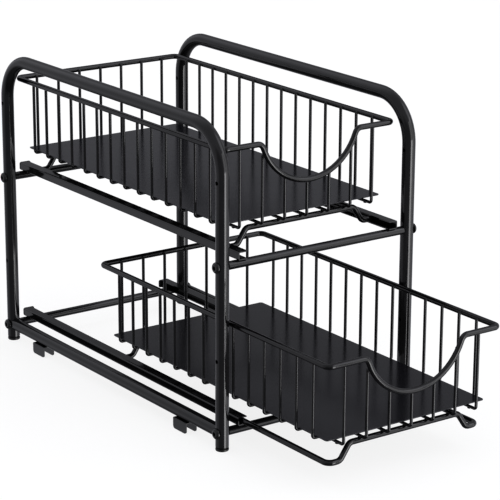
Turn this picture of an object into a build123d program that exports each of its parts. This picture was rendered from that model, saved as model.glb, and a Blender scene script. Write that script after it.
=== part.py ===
"""Two-tier pull-out cabinet basket: a tube frame with two wire baskets that slide in C-channel tracks.

Millimetres. +X is the object's right side, +Y its back, +Z up. The frame stands on Z = 0.
The upper basket is closed and the lower one is drawn out. The origin is the centre of the
bounding box's bottom face in that pose.

Tube and wire are drawn with flat sides and mitred bends, so that a whole basket of them stays
light. Their width across flats is the real diameter, and each bend touches the real arc.
"""
from build123d import *
from math import asin, ceil, cos, radians, sin, sqrt, tan
import os

# ---------------------------------------------------------------- driving dimensions
# Side frames: one bent tube each side, standing on two plugged feet.
leg_spacing_x = 216.0        # leg centre to leg centre, left to right
leg_spacing_y = 388.0        # leg centre to leg centre, front to back
frame_height = 312.0         # floor to the top of the bent tube
tube_diameter = 12.7
tube_wall = 1.0
top_bend_radius = 43.0       # on the tube's centre line
foot_flange_height = 2.4
foot_plug_length = 12.0      # above the flange
foot_plug_clearance = 0.05   # plug to the inside of the tube, per side

# Straight members between the legs.
rail_diameter = 12.3
rail_wall = 1.0
crossbar_diameter = 8.0
lower_bar_height = 17.5      # centre of the lower crossbars and of the side rails
tier_spacing = 160.7         # lower crossbars to upper crossbars

# Screw holes right through each leg, for fixing the frame to a cabinet's side.
screw_hole_diameter = 3.8
low_screw_hole_height = 88.0
high_screw_hole_drop = 54.7  # below the top of the frame

# Button-head bolts that hold the crossbars.
bolt_diameter = 5.0
bolt_hole_clearance = 0.2    # bolt to the hole in the leg, per side
bolt_thread_clearance = 0.05  # bolt to the tapped bore, per side
bolt_engagement = 14.0       # length of bolt inside the crossbar
bolt_bore_spare = 3.0        # bore beyond the bolt's end
bolt_head_diameter = 10.5
bolt_head_height = 2.8
bolt_head_chamfer = 1.3
bolt_socket_flats = 4.0
bolt_socket_depth = 1.7

# C-channel tracks, open towards the middle.
track_length = 396.0
track_depth = 9.6            # web's outer face to the flange tips
track_wall = 1.1
track_corner_radius = 1.6    # outside of the two bends
track_leg_gap = 9.05         # leg to the web's outer face

# Clips under the side rails.
clip_wall = 1.0
clip_width = 12.3
clip_length = 22.0
clip_floor_gap = 0.4
clip_corner_cut = 3.0        # off the bottom corners of the plates
clip_spacing = 264.0         # front clip to back clip

# Runner: the closed wire loop under each basket whose long sides lie in the tracks.
runner_diameter = 5.5
runner_slide_gap = 0.3       # wire to each flange
runner_side_gap = 1.95       # wire to the web
runner_length = 341.2        # between the centre lines of its two ends
runner_set_forward = 1.6     # middle of the runner in front of the basket's middle
runner_bend_radius = 6.5
runner_rise = 15.2           # from the side runs up to the parts that carry the basket
runner_foot = 13.3           # side run to the foot of the slope, sideways
runner_slope = 10.4          # foot to crest of the slope, sideways

# Basket grid: U-shaped wires both ways, the long ones lowest.
wire_diameter = 2.9
wire_bend_radius = 3.0
side_wire_count = 14
side_wire_pitch = 24.45
long_wire_count = 7
long_wire_pitch = 25.7
wire_end_rise = 0.8          # end of a wire above the rim's centre line
weld_bite = 0.2              # depth that welded wires sink into each other

# Basket rim, dipped at the front, and floor sheet.
rim_diameter = 5.4
rim_leg_gap = 0.75
rim_length = 371.2           # between the centre lines of its front and back
rim_corner_radius = 6.0
rim_height = 72.2            # sheet's upper face to the rim's centre line
dip_depth = 40.7
dip_radius = 57.0
dip_shoulder_radius = 7.0
sheet_thickness = 1.0
sheet_wire_gap = 0.1         # sheet's long edges to the bends of the side wires
sheet_end_gap = 3.0          # sheet's short edges to the bends of the long wires
sheet_corner_radius = 3.0

# Where the baskets stand along the tracks.
closed_offset = 4.5          # centre of a closed basket behind the frame's centre
lower_pull_out = 159.75      # how far the lower basket is drawn out

# Flat sides round each section, and the turn in degrees that one mitre takes.
tube_sides, tube_mitre = 16, 18.0
rod_sides, rod_mitre = 12, 45.0
wire_sides, wire_mitre = 8, 45.0
shank_sides = 6
dip_mitre = 15.5

# ---------------------------------------------------------------- worked-out sizes
leg_x = leg_spacing_x / 2
leg_y = leg_spacing_y / 2
tube_bore = tube_diameter - 2 * tube_wall
upper_bar_height = lower_bar_height + tier_spacing
bolt_hole_diameter = bolt_diameter + 2 * bolt_hole_clearance

track_height = runner_diameter + 2 * (runner_slide_gap + track_wall)
track_x = leg_x - tube_diameter / 2 - track_leg_gap
runner_x = track_x - track_wall - runner_side_gap - runner_diameter / 2

rim_x = leg_x - tube_diameter / 2 - rim_leg_gap - rim_diameter / 2
rim_y = rim_length / 2
rim_to_wire = (rim_diameter + wire_diameter) / 2 - weld_bite
wall_x = rim_x - rim_to_wire
wall_y = rim_y - rim_to_wire
upright_inset = wire_bend_radius * (1 - tan(radians(wire_mitre / 2)))
flat_inset = upright_inset + wire_diameter / 2 * tan(radians(wire_mitre / 2))

# The dip is one arc, met by a rounded shoulder each side along a line that slopes by dip_slope.
dip_centre_drop = dip_depth - dip_radius
dip_slope = asin((dip_shoulder_radius - dip_centre_drop) / (dip_radius + dip_shoulder_radius))
shoulder_x = (dip_radius + dip_shoulder_radius) * cos(dip_slope)

lower_basket_y = closed_offset - lower_pull_out
back_reach = leg_y + tube_diameter / 2
front_reach = max(back_reach, rim_y + rim_diameter / 2 - lower_basket_y)
origin_shift = (front_reach - back_reach) / 2


# ---------------------------------------------------------------- general shapes
def round_section(diameter, sides):
    """Section of round stock with this many flats, two of them level."""
    return RegularPolygon(diameter / 2, sides, major_radius=False, rotation=90 - 180 / sides)


def straight_bar(start, end, diameter, sides=rod_sides):
    """Straight piece of tube or rod from one point to another, parallel to an axis."""
    axis = Vector(*end) - Vector(*start)
    return extrude(Plane(origin=start, z_dir=axis) * round_section(diameter, sides), axis.length)


def bend_points(before, corner, after, radius, mitre):
    """Ends of the short straight steps that take a bar round one corner."""
    arriving = (corner - before).normalized()
    leaving = (after - corner).normalized()
    turn = arriving.get_angle(leaving)
    steps = ceil(turn / mitre - 1e-6)
    half_turn, step = radians(turn / 2), radians(turn / steps)
    centre = corner + (leaving - arriving).normalized() * (radius / cos(half_turn))
    outward = (corner - arriving * (radius * tan(half_turn)) - centre).normalized()
    angles = [(index + 0.5) * step for index in range(steps)]
    return [centre + (outward * cos(a) + arriving * sin(a)) * (radius / cos(step / 2)) for a in angles]


def bent_bar(corners, bends, diameter, sides, level, closed=False):
    """Tube or rod through the corners, one (radius, mitre) pair for each bend between the ends.

    level is a direction square to the first run. A closed loop starts and ends part way along
    a straight run.
    """
    corners = [Vector(*corner) for corner in corners]
    if closed:
        corners.append(corners[0])
    points = [corners[0]]
    for index, (radius, mitre) in enumerate(bends, start=1):
        points += bend_points(*corners[index - 1:index + 2], radius, mitre)
    path = Polyline(*points, close=True) if closed else Polyline(*points, corners[-1])
    section = Plane(origin=path @ 0, x_dir=level, z_dir=path % 0) * round_section(diameter, sides)
    return sweep(section, path=path, transition=Transition.RIGHT)


def both_sides(shape):
    """The shape, and its mirror image on the right."""
    return [shape, mirror(shape, about=Plane.YZ)]


def centred(count, pitch):
    """Evenly pitched places about zero."""
    return [(index - (count - 1) / 2) * pitch for index in range(count)]


# ---------------------------------------------------------------- frame
def left_tube_bar(diameter):
    """Inverted U of solid bar on the left tube's centre line."""
    top = frame_height - tube_diameter / 2
    corners = [(-leg_x, -leg_y, foot_flange_height), (-leg_x, -leg_y, top),
               (-leg_x, leg_y, top), (-leg_x, leg_y, foot_flange_height)]
    return bent_bar(corners, [(top_bend_radius, tube_mitre)] * 2, diameter, tube_sides, (1, 0, 0))


def bolt_hole(side, end, height):
    """Bar that cuts a bolt's hole right through a leg from side to side."""
    x, y = side * leg_x, end * leg_y
    return straight_bar((x - tube_diameter, y, height), (x + tube_diameter, y, height),
                        bolt_hole_diameter, shank_sides)


def left_side_tube():
    """Hollow inverted U, drilled for the crossbar bolts and for screws."""
    tube = left_tube_bar(tube_diameter) - left_tube_bar(tube_bore)
    for end in (-1, 1):
        for height in (lower_bar_height, upper_bar_height):
            tube -= bolt_hole(-1, end, height)
        for height in (low_screw_hole_height, frame_height - high_screw_hole_drop):
            across_leg = Plane(origin=(-leg_x, end * leg_y, height), z_dir=(1, 0, 0))
            tube -= extrude(across_leg * Circle(screw_hole_diameter / 2), tube_diameter, both=True)
    return tube


def leg_bar(side, end):
    """Solid bar in a leg's place, for coping what meets the leg."""
    return straight_bar((side * leg_x, end * leg_y, 0), (side * leg_x, end * leg_y, frame_height),
                        tube_diameter, tube_sides)


def left_rail_bar(diameter):
    """Solid bar on the left rail's centre line, from leg centre to leg centre."""
    return straight_bar((-leg_x, -leg_y, lower_bar_height), (-leg_x, leg_y, lower_bar_height), diameter)


def left_lower_rail():
    """Hollow rail between the left legs, its ends coped to them and clear of the bolts."""
    rail = left_rail_bar(rail_diameter) - left_rail_bar(rail_diameter - 2 * rail_wall)
    for end in (-1, 1):
        rail -= leg_bar(-1, end)
        rail -= bolt_hole(-1, end, lower_bar_height)
    return rail


def crossbar(end, height):
    """Solid bar between a pair of legs, coped to them and tapped at both ends."""
    y = end * leg_y
    bar = straight_bar((-leg_x, y, height), (leg_x, y, height), crossbar_diameter)
    bore_x = leg_x - tube_diameter / 2 - bolt_engagement - bolt_bore_spare
    for side in (-1, 1):
        bar -= leg_bar(side, end)
        bar -= straight_bar((side * leg_x, y, height), (side * bore_x, y, height), bolt_diameter, shank_sides)
    if height == lower_bar_height:
        for rail in both_sides(left_rail_bar(rail_diameter)):
            bar -= rail
    return bar


def bolt(side, end, height):
    """Button-head bolt with a hexagon socket, through the leg into the crossbar."""
    head = extrude(round_section(bolt_head_diameter, rod_sides), bolt_head_height)
    head = chamfer(head.faces().sort_by(Axis.Z)[-1].edges(), bolt_head_chamfer)
    socket = RegularPolygon(bolt_socket_flats / 2, 6, major_radius=False)
    head -= extrude(Pos(0, 0, bolt_head_height) * socket, -bolt_socket_depth)
    shank = round_section(bolt_diameter - 2 * bolt_thread_clearance, shank_sides)
    shank = extrude(shank, -(tube_diameter + bolt_engagement))
    outer_face = side * (leg_x + tube_diameter / 2)
    return Plane(origin=(outer_face, end * leg_y, height), z_dir=(side, 0, 0)) * (head + shank)


def foot_cap(side, end):
    """Plug pushed into the end of a leg, with a flange that the leg stands on."""
    flange = extrude(round_section(tube_diameter, tube_sides), foot_flange_height)
    plug = round_section(tube_bore - 2 * foot_plug_clearance, tube_sides)
    plug = extrude(plug, foot_flange_height + foot_plug_length)
    return Pos(side * leg_x, end * leg_y, 0) * (flange + plug)


def left_track(bar_height):
    """C-channel that lies on a tier's two crossbars, open towards the middle."""
    low = bar_height + crossbar_diameter / 2
    block = Pos(-track_x, low) * Rectangle(track_depth, track_height, align=Align.MIN)
    block = fillet(block.vertices().group_by(Axis.X)[0], track_corner_radius)
    hollow = Pos(-track_x + track_wall, low + track_wall) * Rectangle(
        track_depth, track_height - 2 * track_wall, align=Align.MIN)
    return extrude(Plane.XZ * (block - hollow), track_length / 2, both=True)


def left_clip(end):
    """Inverted U of sheet under the left rail, the bottom corners of its plates cut off."""
    height = lower_bar_height - rail_diameter / 2 - clip_floor_gap
    clip = Box(clip_width, clip_length, height)
    clip = chamfer(clip.edges().filter_by(Axis.X).group_by(Axis.Z)[0], clip_corner_cut)
    clip -= Pos(0, 0, -clip_wall) * Box(clip_width - 2 * clip_wall, clip_length, height)
    return Pos(-leg_x, end * clip_spacing / 2, clip_floor_gap + height / 2) * clip


# ---------------------------------------------------------------- baskets
class Levels:
    """Heights of one basket's pieces, stacked up from its tier's crossbars."""

    def __init__(self, bar_height):
        self.track_floor = bar_height + crossbar_diameter / 2 + track_wall
        self.runner = self.track_floor + runner_slide_gap + runner_diameter / 2
        self.runner_crest = self.runner + runner_rise
        self.long_wire = self.runner_crest + (runner_diameter + wire_diameter) / 2 - weld_bite
        self.side_wire = self.long_wire + wire_diameter - weld_bite
        self.sheet = self.side_wire + wire_diameter / 2
        self.rim = self.sheet + sheet_thickness + rim_height
        self.dip_centre = self.rim - dip_centre_drop


def dipped_height(x, levels):
    """Height of the rim's centre line above a place along the basket's front."""
    if abs(x) >= shoulder_x:
        return levels.rim
    if abs(x) >= dip_radius * cos(dip_slope):
        across = shoulder_x - abs(x)
        return levels.rim - dip_shoulder_radius + sqrt(dip_shoulder_radius ** 2 - across ** 2)
    return levels.dip_centre - sqrt(dip_radius ** 2 - x ** 2)


def rim(levels):
    """Thick wire round the top of the basket, dipped at the front."""
    z = levels.rim
    slope_foot = levels.dip_centre - dip_radius / sin(dip_slope)
    slope_top_x = (z - slope_foot) * tan(dip_slope)
    corners = [(0, rim_y, z), (rim_x, rim_y, z), (rim_x, -rim_y, z), (slope_top_x, -rim_y, z),
               (0, -rim_y, slope_foot),
               (-slope_top_x, -rim_y, z), (-rim_x, -rim_y, z), (-rim_x, rim_y, z)]
    corner, shoulder = (rim_corner_radius, rod_mitre), (dip_shoulder_radius, rod_mitre)
    bends = [corner, corner, shoulder, (dip_radius, dip_mitre), shoulder, corner, corner]
    return bent_bar(corners, bends, rim_diameter, rod_sides, (0, 0, 1), closed=True)


def runner(levels):
    """Closed loop: straight sides for the tracks, and raised ends welded under the basket."""
    foot_x = runner_x - runner_foot
    crest_x = foot_x - runner_slope
    back_y = runner_length / 2 - runner_set_forward
    front_y = back_y - runner_length
    outward = [(crest_x, levels.runner_crest), (foot_x, levels.runner), (runner_x, levels.runner)]
    right = [(x, back_y, z) for x, z in outward] + [(x, front_y, z) for x, z in reversed(outward)]
    left = [(-x, y, z) for x, y, z in reversed(right)]
    corners = [(0, back_y, levels.runner_crest)] + right + left
    bends = [(runner_bend_radius, rod_mitre)] * (len(corners) - 1)
    return bent_bar(corners, bends, runner_diameter, rod_sides, (0, 0, 1), closed=True)


def u_wire(start, low_start, low_end, end, level):
    """Grid wire bent into a U."""
    return bent_bar([start, low_start, low_end, end], [(wire_bend_radius, wire_mitre)] * 2,
                    wire_diameter, wire_sides, level)


def side_wires(levels):
    """U-shaped wires across the basket, up both sides to the rim."""
    top, low = levels.rim + wire_end_rise, levels.side_wire
    return [u_wire((-wall_x, y, top), (-wall_x, y, low), (wall_x, y, low), (wall_x, y, top), (0, 1, 0))
            for y in centred(side_wire_count, side_wire_pitch)]


def long_wires(levels):
    """U-shaped wires along the basket, shorter at the front where the rim dips."""
    top, low = levels.rim + wire_end_rise, levels.long_wire
    return [u_wire((x, -wall_y, dipped_height(x, levels) + wire_end_rise), (x, -wall_y, low),
                   (x, wall_y, low), (x, wall_y, top), (1, 0, 0))
            for x in centred(long_wire_count, long_wire_pitch)]


def floor_sheet(levels):
    """Loose sheet with rounded corners that lies on the wires."""
    width = 2 * (wall_x - flat_inset - sheet_wire_gap)
    length = 2 * (wall_y - flat_inset - sheet_end_gap)
    return extrude(Pos(0, 0, levels.sheet) * RectangleRounded(width, length, sheet_corner_radius),
                   sheet_thickness)


def basket(tier, bar_height, centre_y):
    """All the pieces of one basket, by node name."""
    levels = Levels(bar_height)
    pieces = {
        f"{tier}_rim": [rim(levels)],
        f"{tier}_side_wires": side_wires(levels),
        f"{tier}_long_wires": long_wires(levels),
        f"{tier}_floor_sheet": [floor_sheet(levels)],
        f"{tier}_runner": [runner(levels)],
    }
    return {name: [Pos(0, centre_y, 0) * solid for solid in solids] for name, solids in pieces.items()}


# ---------------------------------------------------------------- assembly
def frame_pieces():
    """All the pieces of the standing frame, by node name."""
    pieces = {}
    pieces["left_side_tube"], pieces["right_side_tube"] = both_sides(left_side_tube())
    pieces["left_lower_rail"], pieces["right_lower_rail"] = both_sides(left_lower_rail())
    heights = {"lower": lower_bar_height, "upper": upper_bar_height}
    for tier, height in heights.items():
        pieces[f"front_{tier}_crossbar"] = crossbar(-1, height)
        pieces[f"back_{tier}_crossbar"] = crossbar(1, height)
        pieces[f"{tier}_left_track"], pieces[f"{tier}_right_track"] = both_sides(left_track(height))
    pieces = {name: [solid] for name, solid in pieces.items()}
    corners = [(side, end) for side in (-1, 1) for end in (-1, 1)]
    pieces["crossbar_bolts"] = [bolt(side, end, height)
                                for height in heights.values() for side, end in corners]
    pieces["foot_caps"] = [foot_cap(side, end) for side, end in corners]
    pieces["rail_clips"] = [clip for end in (-1, 1) for clip in both_sides(left_clip(end))]
    return pieces


def export_nodes(nodes):
    """Write each node as one STEP file, with the origin under the middle of the bounding box."""
    os.makedirs("parts", exist_ok=True)
    for name, solids in nodes.items():
        placed = [Pos(0, origin_shift, 0) * solid for solid in solids]
        shape = placed[0] if len(placed) == 1 else Compound(children=placed)
        shape.label = name
        export_step(shape, f"parts/{name}.step")


nodes = frame_pieces()
nodes |= basket("upper", upper_bar_height, closed_offset)
nodes |= basket("lower", lower_bar_height, lower_basket_y)
export_nodes(nodes)
print(f"{len(nodes)} nodes; the frame's centre is {origin_shift:.2f} mm behind the origin")
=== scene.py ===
"""How the two-tier pull-out cabinet basket looks: round tube and wire, drilled holes, welds, bolts,
foot plugs, track stops, coatings and light.

Metres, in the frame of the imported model: +X right, +Y back, +Z up. Each finer piece takes its
place from the box of the node that it stands for. The track stops stand for no node.
"""

import math

import bmesh
import bpy
from mathutils import Matrix, Vector


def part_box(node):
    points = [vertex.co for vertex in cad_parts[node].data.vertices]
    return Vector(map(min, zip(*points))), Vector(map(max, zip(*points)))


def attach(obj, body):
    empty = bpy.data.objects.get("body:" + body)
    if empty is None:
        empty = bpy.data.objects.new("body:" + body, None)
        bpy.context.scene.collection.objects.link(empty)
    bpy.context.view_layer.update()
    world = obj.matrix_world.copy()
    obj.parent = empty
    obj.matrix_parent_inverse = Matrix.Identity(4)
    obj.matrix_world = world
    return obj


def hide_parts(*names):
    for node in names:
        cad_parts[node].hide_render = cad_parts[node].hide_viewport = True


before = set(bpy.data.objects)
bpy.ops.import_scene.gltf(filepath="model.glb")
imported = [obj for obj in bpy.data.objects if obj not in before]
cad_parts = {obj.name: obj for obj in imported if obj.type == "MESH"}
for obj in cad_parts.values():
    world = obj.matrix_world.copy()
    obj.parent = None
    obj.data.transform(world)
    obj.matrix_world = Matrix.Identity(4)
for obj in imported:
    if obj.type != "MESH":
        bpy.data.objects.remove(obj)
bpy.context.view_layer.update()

# ---------------------------------------------------------------- sizes that the boxes don't give
fit_gap = 0.00005             # between a plug or a stop and the walls round it

tube_wall = 0.001
tube_bend_radius = 0.043
screw_hole_diameter = 0.0038
low_screw_hole_height = 0.088
high_screw_hole_drop = 0.0547
cut_end_ease = 0.12           # rounding of a bar's cut end, as a share of its diameter

wire_diameter = 0.0029
wire_bend_radius = 0.0030
side_wire_count = 14
long_wire_count = 7
wire_end_rise = 0.0002        # end of a wire above the rim's centre line

rim_diameter = 0.0054
rim_corner_radius = 0.006
dip_radius = 0.057
dip_shoulder_radius = 0.007

# Weld nuggets: width, depth and height, then where they lie.
side_bead = (0.0022, 0.0034, 0.0036)
end_bead = (0.0034, 0.0022, 0.0036)
crossing_bead = (0.0031, 0.0031, 0.0012)
runner_bead = (0.0034, 0.0040, 0.0016)
rim_bead_drop = 0.0004        # under the rim's centre line
side_bead_reach = 1.0125      # sideways place, as a share of the wall wire's
end_bead_reach = 0.00115      # past the wall wire, to the front or the back

runner_diameter = 0.0055
runner_bend_radius = 0.0065
runner_foot = 0.0133          # side run to the foot of the slope, sideways
runner_slope = 0.0104         # foot to crest of the slope, sideways

sheet_corner_radius = 0.003
sheet_edge_radius = 0.0002

bolt_head_diameter = 0.0105
bolt_head_height = 0.0028
bolt_seat_height = 0.00035    # upright edge under the dome
bolt_land_share = 0.46        # flat top, as a share of the head's radius
bolt_shank_share = 0.5        # shank, as a share of the head's radius
bolt_socket_flats = 0.004
bolt_socket_depth = 0.0017

foot_edge_radius = 0.0009
foot_shadow_gap = 0.0003      # step between the foot and the tube above it

clip_wall = 0.001
clip_length = 0.022
clip_corner_radius = 0.003
clip_bend_radius = 0.0008     # outside of the bend from the top to a plate

track_wall = 0.0011
stop_head_length = 0.0022     # behind the end of the track
stop_head_overhang = 0.003    # past the flanges, towards the middle
stop_body_length = 0.009      # inside the track
stop_corner_radius = 0.0018
stop_edge_radius = 0.0005

# Mesh fineness.
tube_sides = 56
rod_sides = 28
wire_sides = 20
drill_sides = 32
bolt_sides = 40
arc_step = math.radians(6)    # longest step round a bend
corner_steps = 8              # steps in a quarter turn
clip_bend_steps = 6
foot_edge_steps = 5
same_point = 1e-6             # points of a path that are closer count as one

# Edges with a larger angle between their faces stay sharp, in degrees.
sharp_angle = 40
soft_edge_sharp_angle = 30
foot_sharp_angle = 50

quarter_turn = math.pi / 2


# ---------------------------------------------------------------- shapes
def around(count):
    """Angles that share out a full turn."""
    return [2 * math.pi * index / count for index in range(count)]


def arc(centre, radii, start, turn, steps):
    """Points in a plane on part of an ellipse, from a starting angle and through a turn."""
    angles = [start + turn * index / steps for index in range(steps + 1)]
    return [(centre[0] + radii[0] * math.cos(angle), centre[1] + radii[1] * math.sin(angle))
            for angle in angles]


def arc_bend(before, corner, after, radius):
    """Points on the arc that takes a bar round one corner."""
    arriving = (corner - before).normalized()
    leaving = (after - corner).normalized()
    turn = arriving.angle(leaving)
    inward = (leaving - arriving * math.cos(turn)).normalized()
    centre = corner - arriving * (radius * math.tan(turn / 2)) + inward * radius
    steps = math.ceil(turn / arc_step)
    angles = [turn * index / steps for index in range(steps + 1)]
    return [centre - inward * (radius * math.cos(angle)) + arriving * (radius * math.sin(angle))
            for angle in angles]


def bent_path(corners, radii, closed=False):
    """Line through the corners, with one radius for each bend.

    A closed line starts within a straight run.
    """
    corners = [Vector(corner) for corner in corners]
    if closed:
        corners.append(corners[0])
    path = [corners[0]]
    for index, radius in enumerate(radii, start=1):
        bend = arc_bend(*corners[index - 1:index + 2], radius)
        meets = (bend[0] - path[-1]).length < same_point
        path += bend[1:] if meets else bend
    return path if closed else path + [corners[-1]]


def skin(bm, rings, closed=False):
    """Faces from each ring of points to the next, and over both ends if the row isn't closed."""
    pairs = list(zip(rings, rings[1:]))
    if closed:
        pairs.append((rings[-1], rings[0]))
    for first, second in pairs:
        for index in range(len(first)):
            following = (index + 1) % len(first)
            bm.faces.new((first[index], first[following], second[following], second[index]))
    if not closed:
        bm.faces.new(reversed(rings[0]))
        bm.faces.new(rings[-1])


def add_sweep(bm, path, diameter, sides, level, closed=False):
    """Round bar along a path. level is a direction that the path never runs along."""
    level = Vector(level)
    count = len(path)
    radii = [diameter / 2] * count
    tangents = []
    for index in range(count):
        before = path[index - 1] if index or closed else path[0]
        after = path[(index + 1) % count] if closed or index < count - 1 else path[-1]
        tangents.append((after - before).normalized())
    if not closed:
        ease = diameter * cut_end_ease
        start, end = tangents[0], tangents[-1]
        path = [path[0], path[0] + start * ease] + path[1:-1] + [path[-1] - end * ease, path[-1]]
        tangents = [start] + tangents + [end]
        radii = [diameter / 2 - ease] + radii + [diameter / 2 - ease]
    rings = []
    for point, tangent, radius in zip(path, tangents, radii):
        across = tangent.cross(level).normalized()
        other = across.cross(tangent)
        spokes = [across * math.cos(angle) + other * math.sin(angle) for angle in around(sides)]
        rings.append([bm.verts.new(point + spoke * radius) for spoke in spokes])
    skin(bm, rings, closed)


def add_lathe(bm, profile, sides, place):
    """Solid turned about +Z from (radius, height) pairs, then put in place."""
    rings = []
    for radius, height in profile:
        spots = [Vector((radius * math.cos(angle), radius * math.sin(angle), height))
                 for angle in around(sides)]
        rings.append([bm.verts.new(place @ spot) for spot in spots])
    skin(bm, rings)


def add_prism(bm, outline, along):
    """Closed prism from a flat outline and the way it is drawn out."""
    skin(bm, [[bm.verts.new(point) for point in outline],
              [bm.verts.new(point + along) for point in outline]])


def add_plate(bm, low, high, corner_radius, edge_radius, place=Matrix()):
    """Plate with rounded corners and softened edges, made flat in XY and then put in place."""
    layers = ((edge_radius, low[2]), (0.0, low[2] + edge_radius),
              (0.0, high[2] - edge_radius), (edge_radius, high[2]))
    near_x, far_x = low[0] + corner_radius, high[0] - corner_radius
    near_y, far_y = low[1] + corner_radius, high[1] - corner_radius
    centres = ((far_x, far_y), (near_x, far_y), (near_x, near_y), (far_x, near_y))
    rings = []
    for inset, z in layers:
        radius = corner_radius - inset
        outline = []
        for quarter, centre in enumerate(centres):
            start = quarter_turn * quarter
            outline += arc(centre, (radius, radius), start, quarter_turn, corner_steps)
        rings.append([bm.verts.new(place @ Vector((*point, z))) for point in outline])
    skin(bm, rings)


def add_bead(bm, centre, sizes):
    """Small rounded nugget of weld."""
    place = Matrix.Translation(centre) @ Matrix.Diagonal((*sizes, 1))
    bmesh.ops.create_icosphere(bm, subdivisions=2, radius=0.5, matrix=place)


def smooth(mesh, sharp_degrees=sharp_angle):
    """Smooth shading but for the sharp edges."""
    mesh.polygons.foreach_set("use_smooth", [True] * len(mesh.polygons))
    mesh.set_sharp_from_angle(angle=math.radians(sharp_degrees))


def mesh_object(name, bm, sharp_degrees=sharp_angle):
    """New object from a bmesh."""
    bmesh.ops.recalc_face_normals(bm, faces=bm.faces)
    mesh = bpy.data.meshes.new(name)
    bm.to_mesh(mesh)
    bm.free()
    smooth(mesh, sharp_degrees)
    made = bpy.data.objects.new(name, mesh)
    bpy.context.scene.collection.objects.link(made)
    return made


def cut(solid, cutter):
    """Takes the cutter out of the solid, and deletes the cutter."""
    modifier = solid.modifiers.new("cut", "BOOLEAN")
    modifier.operation = "DIFFERENCE"
    modifier.solver = "EXACT"
    modifier.object = cutter
    evaluated = solid.evaluated_get(bpy.context.evaluated_depsgraph_get())
    mesh = bpy.data.meshes.new_from_object(evaluated)
    solid.modifiers.clear()
    solid.data = mesh
    smooth(mesh)
    bpy.data.objects.remove(cutter)


def even(low, high, count):
    """Evenly spaced places from low to high."""
    return [low + (high - low) * index / (count - 1) for index in range(count)]


# ---------------------------------------------------------------- materials
noise_spread = (0.3, 0.7)     # values of a noise that become the ends of a range
mottle_scale, mottle_detail = 45.0, 3.0
haze_scale, haze_detail = 160.0, 2.0
peel_detail = 4.0
peel_strength = 0.6


def new_material(name):
    """New material, with its nodes, its links and its shader."""
    material = bpy.data.materials.new(name)
    material.use_nodes = True
    nodes, links = material.node_tree.nodes, material.node_tree.links
    return material, nodes, links, nodes["Principled BSDF"]


def noise(nodes, links, coordinates, scale, detail):
    """Noise in the piece's own coordinates."""
    texture = nodes.new("ShaderNodeTexNoise")
    texture.inputs["Scale"].default_value = scale
    texture.inputs["Detail"].default_value = detail
    links.new(coordinates.outputs["Object"], texture.inputs["Vector"])
    return texture.outputs["Fac"]


def ranged(nodes, links, source, low, high):
    """Spreads the middle of a noise over a range of values."""
    spread = nodes.new("ShaderNodeMapRange")
    spread.inputs["From Min"].default_value, spread.inputs["From Max"].default_value = noise_spread
    spread.inputs["To Min"].default_value = low
    spread.inputs["To Max"].default_value = high
    links.new(source, spread.inputs["Value"])
    return spread.outputs["Result"]


def coating(name, dark, light, roughness, grain, relief, specular=0.5):
    """Baked-on coating: slight mottling of shade and gloss, and a fine orange-peel relief."""
    material, nodes, links, shader = new_material(name)
    coordinates = nodes.new("ShaderNodeTexCoord")
    mottle = noise(nodes, links, coordinates, mottle_scale, mottle_detail)
    shade = nodes.new("ShaderNodeMix")
    shade.data_type = "RGBA"
    shade.inputs["A"].default_value = (*dark, 1)
    shade.inputs["B"].default_value = (*light, 1)
    links.new(ranged(nodes, links, mottle, 0, 1), shade.inputs["Factor"])
    links.new(shade.outputs["Result"], shader.inputs["Base Color"])
    haze = noise(nodes, links, coordinates, haze_scale, haze_detail)
    links.new(ranged(nodes, links, haze, *roughness), shader.inputs["Roughness"])
    bump = nodes.new("ShaderNodeBump")
    bump.inputs["Strength"].default_value = peel_strength
    bump.inputs["Distance"].default_value = relief
    links.new(noise(nodes, links, coordinates, grain, peel_detail), bump.inputs["Height"])
    links.new(bump.outputs["Normal"], shader.inputs["Normal"])
    shader.inputs["Specular IOR Level"].default_value = specular
    return material


frame_paint = coating("frame_powder_coat", (0.0040, 0.0040, 0.0044), (0.0075, 0.0075, 0.0082),
                      roughness=(0.07, 0.12), grain=900.0, relief=0.000006)
wire_paint = coating("wire_powder_coat", (0.0024, 0.0024, 0.0028), (0.0048, 0.0048, 0.0054),
                     roughness=(0.10, 0.15), grain=1300.0, relief=0.0000022)
sheet_finish = coating("sheet_grey_coat", (0.0085, 0.0085, 0.0115), (0.0110, 0.0110, 0.0145),
                       roughness=(0.17, 0.21), grain=2200.0, relief=0.0000006, specular=0.45)
bolt_finish = coating("bolt_black_zinc", (0.006, 0.006, 0.006), (0.012, 0.012, 0.012),
                      roughness=(0.12, 0.20), grain=1800.0, relief=0.00001)
cap_plastic = coating("cap_moulded_plastic", (0.006, 0.006, 0.006), (0.012, 0.012, 0.012),
                      roughness=(0.22, 0.30), grain=1500.0, relief=0.00002)
stop_rubber = coating("stop_moulded_rubber", (0.0025, 0.0025, 0.0025), (0.0050, 0.0050, 0.0050),
                      roughness=(0.40, 0.52), grain=1500.0, relief=0.00002, specular=0.25)


def paint(piece, material):
    """Gives a piece one material."""
    piece.data.materials.clear()
    piece.data.materials.append(material)


def place_piece(piece, body, material, slot, *nodes):
    """Gives a piece its material, the body that it rides on and the nodes that it stands for."""
    paint(piece, material)
    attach(piece, body)
    if nodes:
        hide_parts(*nodes)


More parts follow.
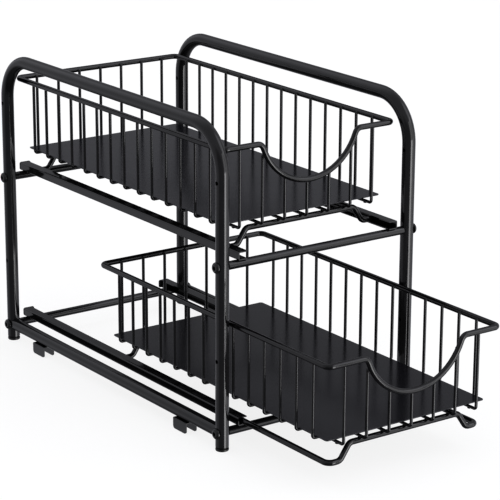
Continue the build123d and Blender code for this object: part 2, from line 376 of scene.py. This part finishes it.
# ---------------------------------------------------------------- frame
def side_tube(side):
    """Hollow bent tube of one side, with its screw holes."""
    low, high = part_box(f"{side}_side_tube")
    diameter = high.x - low.x
    x = (low.x + high.x) / 2
    front, back, top = low.y + diameter / 2, high.y - diameter / 2, high.z - diameter / 2
    corners = [(x, front, low.z), (x, front, top), (x, back, top), (x, back, low.z)]
    path = bent_path(corners, [tube_bend_radius] * 2)
    solids = []
    for name, size in (("outer", diameter), ("bore", diameter - 2 * tube_wall)):
        bm = bmesh.new()
        add_sweep(bm, path, size, tube_sides, (1, 0, 0))
        solids.append(mesh_object(f"{side}_{name}", bm))
    tube, bore = solids
    cut(tube, bore)
    bm = bmesh.new()
    for y in (front, back):
        for height in (low_screw_hole_height, high.z - high_screw_hole_drop):
            hole = [Vector((x - diameter, y, height)), Vector((x + diameter, y, height))]
            add_sweep(bm, hole, screw_hole_diameter, drill_sides, (0, 0, 1))
    cut(tube, mesh_object(f"{side}_drill", bm))
    tube.name = f"{side}_bent_tube"
    place_piece(tube, "frame", frame_paint, "frame_paint", f"{side}_side_tube")


def straight_bar(name, node, ends, diameter, sides):
    """Round bar or tube of the frame, between two points."""
    bm = bmesh.new()
    add_sweep(bm, [Vector(end) for end in ends], diameter, sides, (0, 0, 1))
    place_piece(mesh_object(name, bm), "frame", frame_paint, "frame_paint", node)


def lower_rail(side):
    """Tube between the two legs of one side. It ends inside them."""
    node = f"{side}_lower_rail"
    low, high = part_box(node)
    tube_low, tube_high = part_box(f"{side}_side_tube")
    leg_radius = (tube_high.x - tube_low.x) / 2
    x, z = (low.x + high.x) / 2, (low.z + high.z) / 2
    ends = [(x, tube_low.y + leg_radius, z), (x, tube_high.y - leg_radius, z)]
    straight_bar(f"{side}_rail", node, ends, high.x - low.x, tube_sides)


def crossbar(end, tier):
    """Bar between the left and right legs of one end."""
    node = f"{end}_{tier}_crossbar"
    low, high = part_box(node)
    y, z = (low.y + high.y) / 2, (low.z + high.z) / 2
    ends = [(low.x, y, z), (high.x, y, z)]
    straight_bar(f"{end}_{tier}_bar", node, ends, high.z - low.z, rod_sides)


def bolts():
    """Button-head bolts with a hexagon socket, one at each end of every crossbar."""
    leg_low, leg_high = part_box("right_side_tube")
    leg_radius = (leg_high.x - leg_low.x) / 2
    radius, seat, top = bolt_head_diameter / 2, bolt_seat_height, bolt_head_height
    shank, land = radius * bolt_shank_share, radius * bolt_land_share
    profile = [(shank, -leg_radius), (shank, 0.0), (radius, 0.0)]
    profile += arc((land, seat), (radius - land, top - seat), 0, quarter_turn, corner_steps)
    corner = bolt_socket_flats / math.sqrt(3)
    hexagon = [Vector((corner * math.cos(angle), corner * math.sin(angle), top - bolt_socket_depth))
               for angle in around(6)]
    solid, sockets = bmesh.new(), bmesh.new()
    for side in (-1, 1):
        for end in ("front", "back"):
            for tier in ("lower", "upper"):
                low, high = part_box(f"{end}_{tier}_crossbar")
                y, z = (low.y + high.y) / 2, (low.z + high.z) / 2
                place = Matrix.Translation((side * leg_high.x, y, z))
                place = place @ Matrix.Rotation(side * quarter_turn, 4, "Y")
                add_lathe(solid, profile, bolt_sides, place)
                outward = place.to_3x3() @ Vector((0, 0, bolt_socket_depth * 2))
                add_prism(sockets, [place @ spot for spot in hexagon], outward)
    heads = mesh_object("button_head_bolts", solid)
    cut(heads, mesh_object("sockets", sockets))
    place_piece(heads, "frame", bolt_finish, "bolt_finish", "crossbar_bolts")


def foot_caps():
    """Plastic plugs in the legs, each with a rounded foot and a shadow gap under the tube."""
    caps_low, caps_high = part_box("foot_caps")
    tube_low, tube_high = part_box("left_side_tube")
    radius = (tube_high.x - tube_low.x) / 2
    flange = tube_low.z - caps_low.z
    bore = radius - tube_wall - fit_gap
    edge, gap = foot_edge_radius, foot_shadow_gap
    profile = arc((radius - edge, edge), (edge, edge), -quarter_turn, quarter_turn, foot_edge_steps)
    profile += [(radius, flange - gap), (radius - gap, flange), (bore, flange), (bore, caps_high.z)]
    bm = bmesh.new()
    for x in (caps_low.x + radius, caps_high.x - radius):
        for y in (caps_low.y + radius, caps_high.y - radius):
            add_lathe(bm, profile, tube_sides, Matrix.Translation((x, y, caps_low.z)))
    plugs = mesh_object("foot_plugs", bm, foot_sharp_angle)
    place_piece(plugs, "frame", cap_plastic, "cap_plastic", "foot_caps")


def track_stops():
    """Moulded stops in the tracks' back ends: a body between the flanges, a head behind them."""
    bm = bmesh.new()
    upright = Matrix(((1, 0, 0, 0), (0, 0, 1, 0), (0, 1, 0, 0), (0, 0, 0, 1)))   # swaps Y and Z
    for tier in ("lower", "upper"):
        for side, inward in (("left", 1), ("right", -1)):
            low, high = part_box(f"{tier}_{side}_track")
            web_x, lip_x = (low.x, high.x) if inward > 0 else (high.x, low.x)
            head = sorted((web_x, lip_x + inward * stop_head_overhang))
            body = sorted((web_x + inward * track_wall, lip_x))
            add_plate(bm, (head[0], low.z, high.y), (head[1], high.z, high.y + stop_head_length),
                      stop_corner_radius, stop_edge_radius, upright)
            add_plate(bm, (body[0], low.z + track_wall + fit_gap, high.y - stop_body_length),
                      (body[1], high.z - track_wall - fit_gap, high.y + stop_edge_radius),
                      stop_edge_radius * 2, stop_edge_radius, upright)
    stops = mesh_object("track_end_stops", bm, soft_edge_sharp_angle)
    place_piece(stops, "frame", stop_rubber, "cap_plastic")


def rail_clips():
    """Bent sheet clips under the lower rails: two plates and a top, all bends rounded."""
    low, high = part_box("rail_clips")
    tube_low, tube_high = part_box("left_side_tube")
    half_width = (tube_low.x + tube_high.x) / 2 - low.x
    half_length = clip_length / 2
    corner, bend = clip_corner_radius, clip_bend_radius
    under_top = high.z - clip_wall
    bm = bmesh.new()
    for x in (low.x + half_width, high.x - half_width):
        for y in (low.y + half_length, high.y - half_length):
            left, right = x - half_width, x + half_width
            front, back = y - half_length, y + half_length
            plate = [(front, under_top), (back, under_top)]
            for corner_y, start in ((back - corner, 0), (front + corner, -quarter_turn)):
                plate += arc((corner_y, low.z + corner), (corner, corner),
                             start, -quarter_turn, corner_steps)
            for face_x, inward in ((left, 1), (right, -1)):
                outline = [Vector((face_x, *point)) for point in plate]
                add_prism(bm, outline, Vector((inward * clip_wall, 0, 0)))
            top = [(left, under_top)]
            for bend_x, start in ((left + bend, math.pi), (right - bend, quarter_turn)):
                top += arc((bend_x, high.z - bend), (bend, bend),
                           start, -quarter_turn, clip_bend_steps)
            top.append((right, under_top))
            outline = [Vector((across, front, z)) for across, z in top]
            add_prism(bm, outline, Vector((0, clip_length, 0)))
    clips = mesh_object("under_rail_clips", bm)
    place_piece(clips, "frame", frame_paint, "frame_paint", "rail_clips")


# ---------------------------------------------------------------- baskets
def wire_piece(tier, name, bm, *nodes):
    """Wire of one basket, with the nodes of that basket that it stands for."""
    piece = mesh_object(f"{tier}_{name}", bm)
    stands_for = [f"{tier}_{node}" for node in nodes]
    place_piece(piece, f"{tier}_basket", wire_paint, "wire_paint", *stands_for)


def dip_lines(rim_z, dip_z):
    """Where the dip's arc lies, as three values.

    Height of the arc's centre, the angle below level at which the arc meets the shoulders, and
    half the dip's width where the rim is level again.
    """
    centre_z = dip_z + dip_radius
    both_radii = dip_radius + dip_shoulder_radius
    meeting = math.asin((dip_shoulder_radius + centre_z - rim_z) / both_radii)
    return centre_z, meeting, both_radii * math.cos(meeting)


def dipped_height(x, rim_z, dip_z):
    """Height of the rim's centre line at a place along the basket's front."""
    centre_z, meeting, shoulder_x = dip_lines(rim_z, dip_z)
    if abs(x) >= shoulder_x:
        return rim_z
    if abs(x) >= dip_radius * math.cos(meeting):
        across = shoulder_x - abs(x)
        return rim_z - dip_shoulder_radius + math.sqrt(dip_shoulder_radius ** 2 - across ** 2)
    return centre_z - math.sqrt(dip_radius ** 2 - x ** 2)


def rim(tier):
    """Closed loop of thick wire, dipped at the front."""
    low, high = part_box(f"{tier}_rim")
    half = rim_diameter / 2
    x, front, back = high.x - half, low.y + half, high.y - half
    z, dip_z = high.z - half, low.z + half
    centre_z, meeting, _ = dip_lines(z, dip_z)
    foot_z = centre_z - dip_radius / math.sin(meeting)
    side_x = (z - foot_z) * math.tan(meeting)
    corners = [(0, back, z), (x, back, z), (x, front, z), (side_x, front, z), (0, front, foot_z),
               (-side_x, front, z), (-x, front, z), (-x, back, z)]
    corner, shoulder = rim_corner_radius, dip_shoulder_radius
    radii = [corner, corner, shoulder, dip_radius, shoulder, corner, corner]
    path = bent_path(corners, radii, closed=True)
    bm = bmesh.new()
    add_sweep(bm, path, rim_diameter, rod_sides, (0, 0, 1), closed=True)
    wire_piece(tier, "basket_rim", bm, "rim")


def runner(tier):
    """Closed loop of thick wire: straight sides in the tracks, raised ends under the basket."""
    low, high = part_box(f"{tier}_runner")
    half = runner_diameter / 2
    side_x, front, back = high.x - half, low.y + half, high.y - half
    z, crest_z = low.z + half, high.z - half
    foot_x = side_x - runner_foot
    outward = [(foot_x - runner_slope, crest_z), (foot_x, z), (side_x, z)]
    right = [(x, back, height) for x, height in outward]
    right += [(x, front, height) for x, height in reversed(outward)]
    left = [(-x, y, height) for x, y, height in reversed(right)]
    corners = [(0, back, crest_z)] + right + left
    path = bent_path(corners, [runner_bend_radius] * (len(corners) - 1), closed=True)
    bm = bmesh.new()
    add_sweep(bm, path, runner_diameter, rod_sides, (0, 0, 1), closed=True)
    wire_piece(tier, "runner_wire", bm, "runner")


def grid(tier):
    """Both sets of U-shaped grid wires, and the weld nuggets that hold the basket together."""
    half = wire_diameter / 2
    rim_low, rim_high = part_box(f"{tier}_rim")
    rim_z, dip_z = rim_high.z - rim_diameter / 2, rim_low.z + rim_diameter / 2
    side_low, side_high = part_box(f"{tier}_side_wires")
    long_low, long_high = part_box(f"{tier}_long_wires")
    runner_low, runner_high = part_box(f"{tier}_runner")
    wall_x, side_z = side_high.x - half, side_low.z + half
    front, back, long_z = long_low.y + half, long_high.y - half, long_low.z + half
    ys = even(side_low.y + half, side_high.y - half, side_wire_count)
    xs = even(long_low.x + half, long_high.x - half, long_wire_count)
    top = rim_z + wire_end_rise
    crosswise, lengthwise, welds = bmesh.new(), bmesh.new(), bmesh.new()
    for y in ys:
        corners = [(-wall_x, y, top), (-wall_x, y, side_z), (wall_x, y, side_z), (wall_x, y, top)]
        path = bent_path(corners, [wire_bend_radius] * 2)
        add_sweep(crosswise, path, wire_diameter, wire_sides, (0, 1, 0))
        for x in (-wall_x, wall_x):
            add_bead(welds, Vector((x * side_bead_reach, y, rim_z - rim_bead_drop)), side_bead)
        for x in xs:
            add_bead(welds, Vector((x, y, (side_z + long_z) / 2)), crossing_bead)
    for x in xs:
        # On the slope of the dip, the wire ends lower by half of the rim's fall across the wire.
        edges = [dipped_height(x + way * half, rim_z, dip_z) for way in (-1, 1)]
        front_z = dipped_height(x, rim_z, dip_z) - abs(edges[1] - edges[0]) / 2
        corners = [(x, front, front_z + wire_end_rise), (x, front, long_z),
                   (x, back, long_z), (x, back, top)]
        path = bent_path(corners, [wire_bend_radius] * 2)
        add_sweep(lengthwise, path, wire_diameter, wire_sides, (1, 0, 0))
        for y, z in ((front - end_bead_reach, front_z), (back + end_bead_reach, rim_z)):
            add_bead(welds, Vector((x, y, z - rim_bead_drop)), end_bead)
        for y in (runner_low.y + runner_diameter / 2, runner_high.y - runner_diameter / 2):
            add_bead(welds, Vector((x, y, long_z - half)), runner_bead)
    wire_piece(tier, "crosswise_wires", crosswise, "side_wires")
    wire_piece(tier, "lengthwise_wires", lengthwise, "long_wires")
    wire_piece(tier, "weld_nuggets", welds)


def floor_sheet(tier):
    """Thin sheet with rounded corners and softened edges."""
    node = f"{tier}_floor_sheet"
    low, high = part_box(node)
    bm = bmesh.new()
    add_plate(bm, low, high, sheet_corner_radius, sheet_edge_radius)
    sheet = mesh_object(f"{tier}_basket_sheet", bm, soft_edge_sharp_angle)
    place_piece(sheet, f"{tier}_basket", sheet_finish, "sheet_finish", node)


# ---------------------------------------------------------------- light and camera
def toward(azimuth, elevation):
    """Direction out from the object: azimuth 0 is the front and 90 the right."""
    a, e = math.radians(azimuth), math.radians(elevation)
    return Vector((math.sin(a) * math.cos(e), -math.cos(a) * math.cos(e), math.sin(e)))


view_gamma = 0.75
room_strength = 0.95
room_tint = (0.965, 0.97, 1.03, 1)
# Direction, degrees from it where the tone is full and where it ends, share of the strength.
room_tones = [
    (toward(-48, -10), 30, 52, 0.50),
    (toward(144, 12), 12, 45, 0.40),
    (toward(0, -90), 48, 72, 0.20),
    (toward(-172, 45), 10, 42, 1.35),
    (toward(49, 45), 6, 28, 2.8),
    (toward(85, -52), 10, 40, 2.2),
]
# Name, azimuth, distance and height, then the panel's own width and height, and its radiance.
light_panels = [
    ("strip_panel", 13.0, 2.4, -0.85, (1.25, 1.9), 6.6),
    ("strip_top_panel", 13.0, 2.4, 0.95, (1.25, 1.7), 2.0),
    ("fill_panel", 44.0, 2.4, 0.0, (1.2, 3.6), 1.5),
]
floor_size = 60.0
floor_shade = 0.12            # takes shadows
floor_glow = 0.88             # keeps the floor pale everywhere

camera_azimuth, camera_elevation, camera_roll = -35.591, 16.710, 0.253
camera_place = Vector((-1.2103, -1.7057, 0.7734))
focal_share = 4.4520          # focal length as a share of the picture's width
sensor_width = 36.0           # millimetres, as camera sensors are given


def surround():
    """Grey room with lighter and darker stretches."""
    world = bpy.data.worlds.new("surround")
    world.use_nodes = True
    nodes, links = world.node_tree.nodes, world.node_tree.links
    background = nodes["Background"]
    background.inputs["Color"].default_value = room_tint
    coordinates = nodes.new("ShaderNodeTexCoord")
    strength = None
    for direction, inner, outer, share in room_tones:
        facing = nodes.new("ShaderNodeVectorMath")
        facing.operation = "DOT_PRODUCT"
        links.new(coordinates.outputs["Generated"], facing.inputs[0])
        facing.inputs[1].default_value = direction
        shade = nodes.new("ShaderNodeMapRange")
        shade.interpolation_type = "SMOOTHSTEP"
        shade.inputs["From Min"].default_value = math.cos(math.radians(outer))
        shade.inputs["From Max"].default_value = math.cos(math.radians(inner))
        shade.inputs["To Min"].default_value = 1.0
        shade.inputs["To Max"].default_value = share
        links.new(facing.outputs["Value"], shade.inputs["Value"])
        product = nodes.new("ShaderNodeMath")
        product.operation = "MULTIPLY"
        links.new(shade.outputs["Result"], product.inputs[0])
        if strength is None:
            product.inputs[1].default_value = room_strength
        else:
            links.new(strength, product.inputs[1])
        strength = product.outputs["Value"]
    links.new(strength, background.inputs["Strength"])
    bpy.context.scene.world = world


def panel(name, azimuth, distance, height, size, radiance):
    """Soft upright light of one even radiance, seen in reflections but not by the camera."""
    light = bpy.data.lights.new(name, "AREA")
    light.shape = "RECTANGLE"
    light.size, light.size_y = size
    light.energy = radiance * math.pi * size[0] * size[1]
    lamp = bpy.data.objects.new(name, light)
    way = toward(azimuth, 0)
    lamp.location = way * distance + Vector((0, 0, height))
    lamp.rotation_mode = "QUATERNION"
    lamp.rotation_quaternion = (-way).to_track_quat("-Z", "Y")
    lamp.visible_camera = False
    bpy.context.scene.collection.objects.link(lamp)


def studio():
    """Pale floor and soft light."""
    bpy.context.scene.view_settings.view_transform = "Standard"
    bpy.context.scene.view_settings.gamma = view_gamma
    surround()
    for details in light_panels:
        panel(*details)
    bpy.ops.mesh.primitive_plane_add(size=floor_size, location=(0, 0, 0))
    floor = bpy.context.object
    floor.name = "floor"
    floor.visible_glossy = False
    floor.visible_shadow = False
    material, _, _, shader = new_material("floor_white")
    shader.inputs["Base Color"].default_value = (floor_shade, floor_shade, floor_shade, 1)
    shader.inputs["Roughness"].default_value = 1.0
    shader.inputs["Specular IOR Level"].default_value = 0.0
    shader.inputs["Emission Color"].default_value = (1, 1, 1, 1)
    shader.inputs["Emission Strength"].default_value = floor_glow
    paint(floor, material)


def photo_camera():
    """Camera fitted to the photograph's straight edges."""
    azimuth, elevation = math.radians(camera_azimuth), math.radians(camera_elevation)
    roll = math.radians(camera_roll)
    forward = Vector((-math.sin(azimuth) * math.cos(elevation),
                      math.cos(azimuth) * math.cos(elevation), -math.sin(elevation)))
    right = Vector((math.cos(azimuth), math.sin(azimuth), 0))
    up = right.cross(forward)
    right, up = (right * math.cos(roll) + up * math.sin(roll),
                 up * math.cos(roll) - right * math.sin(roll))
    data = bpy.data.cameras.new("photo_camera")
    data.sensor_width = sensor_width
    data.lens = focal_share * sensor_width
    camera = bpy.data.objects.new("photo_camera", data)
    camera.matrix_world = Matrix((right, up, -forward)).transposed().to_4x4()
    camera.location = camera_place
    bpy.context.scene.collection.objects.link(camera)
    bpy.context.scene.camera = camera


# ---------------------------------------------------------------- assembly
for side in ("left", "right"):
    side_tube(side)
    lower_rail(side)
for tier in ("lower", "upper"):
    for end in ("front", "back"):
        crossbar(end, tier)
    for side in ("left", "right"):
        paint(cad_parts[f"{tier}_{side}_track"], frame_paint)
    rim(tier)
    runner(tier)
    grid(tier)
    floor_sheet(tier)
bolts()
foot_caps()
rail_clips()
track_stops()
studio()
photo_camera()
